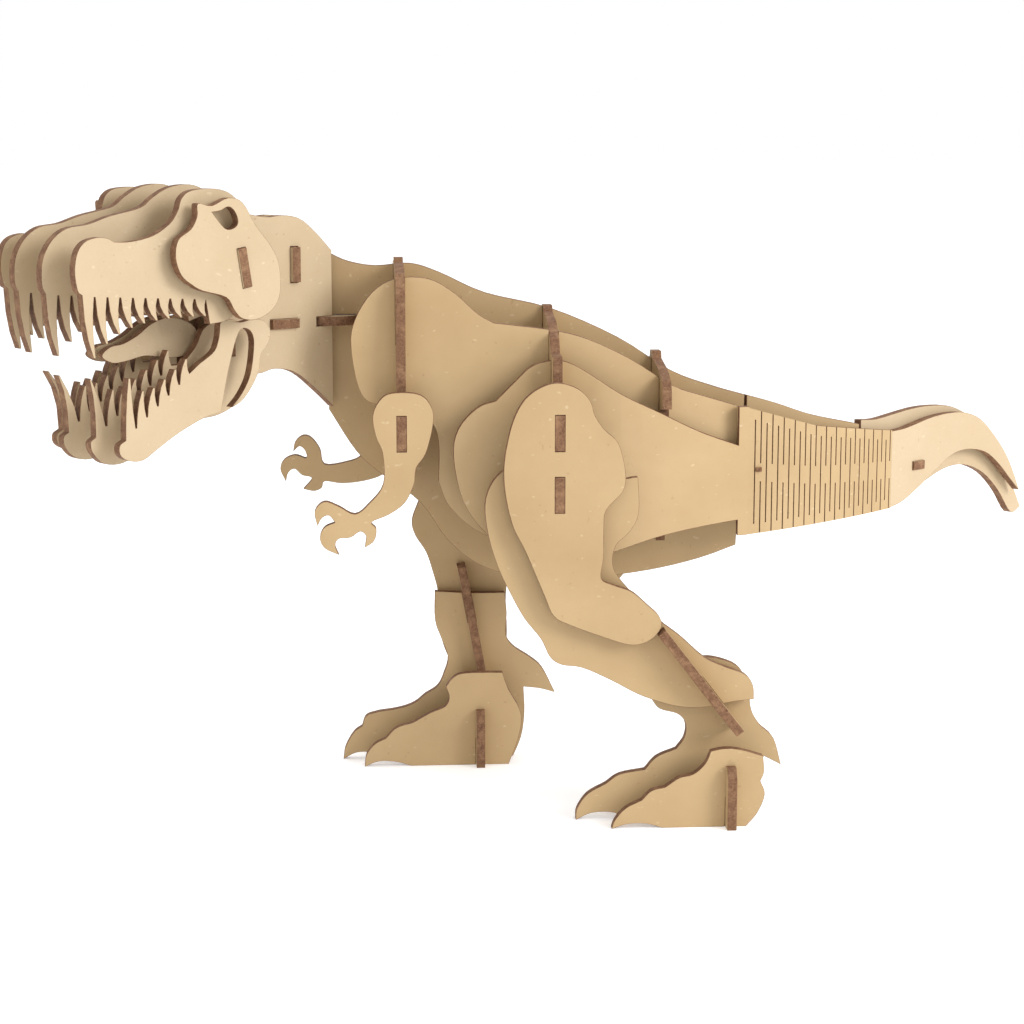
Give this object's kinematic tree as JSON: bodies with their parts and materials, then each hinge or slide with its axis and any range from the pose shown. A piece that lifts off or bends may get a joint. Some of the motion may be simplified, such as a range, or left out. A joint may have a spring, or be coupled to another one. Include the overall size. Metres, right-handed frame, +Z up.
{
  "type": "slot-together board dinosaur model",
  "caption": "Standing two-legged dinosaur built from slotted flat board pieces, with an open toothed mouth, a turning head and a tail that swings on living hinges.",
  "frame": {"origin": "middle of the bounding box in plan, on the floor under the feet", "axes": "+X towards the tail, +Y towards the animal's right side, +Z up"},
  "size_m": [0.473, 0.207, 0.2731],
  "materials": {
    "board": "matte"
  },
  "bodies": {
    "torso": {"spine_plate": "board", "torso_plate_left": "board", "torso_plate_right": "board", "hip_plate_left": "board", "hip_plate_right": "board", "shoulder_rib": "board", "hip_rib": "board", "rear_rib": "board", "tail_root_plate": "board", "arm_left": "board", "arm_right": "board", "thigh_plate_left": "board", "thigh_plate_right": "board", "leg_plate_left": "board", "leg_plate_right": "board", "foot_plate_left": "board", "foot_plate_right": "board", "shin_rib_left": "board", "shin_rib_right": "board", "toe_outer_left": "board", "toe_inner_left": "board", "toe_outer_right": "board", "toe_inner_right": "board", "foot_rib_left": "board", "foot_rib_right": "board", "tail_hinge_left": "board", "tail_hinge_right": "board", "root_peg": "board"},
    "head": {"neck_plate_left": "board", "neck_plate_right": "board", "neck_rib": "board", "neck_bridge": "board", "skull_rib": "board", "cheek_left": "board", "cheek_right": "board", "upper_jaw_outer_left": "board", "upper_jaw_inner_left": "board", "upper_jaw_inner_right": "board", "upper_jaw_outer_right": "board", "lower_jaw_outer_left": "board", "lower_jaw_inner_left": "board", "lower_jaw_inner_right": "board", "lower_jaw_outer_right": "board", "tongue_left": "board", "tongue_right": "board", "jaw_rib_front": "board", "jaw_rib_rear": "board", "jaw_rib_neck": "board"},
    "tail": {"tail_plate_left": "board", "tail_plate_right": "board", "tail_centre_plate": "board", "tail_peg": "board"}
  },
  "joints": [
    {"name": "head_turn", "type": "hinge", "parent": "torso", "child": "head", "pos_m": [-0.10311, 0.01015, 0.2135], "axis": [0, 0, 1], "range_deg": [-76, 0]},
    {"name": "tail_swing", "type": "hinge", "parent": "torso", "child": "tail", "pos_m": [0.11789, 0.01015, 0.142], "axis": [0, 0, 1], "range_deg": [-76, 0], "deforming": ["tail_hinge_left", "tail_hinge_right"]}
  ]
}
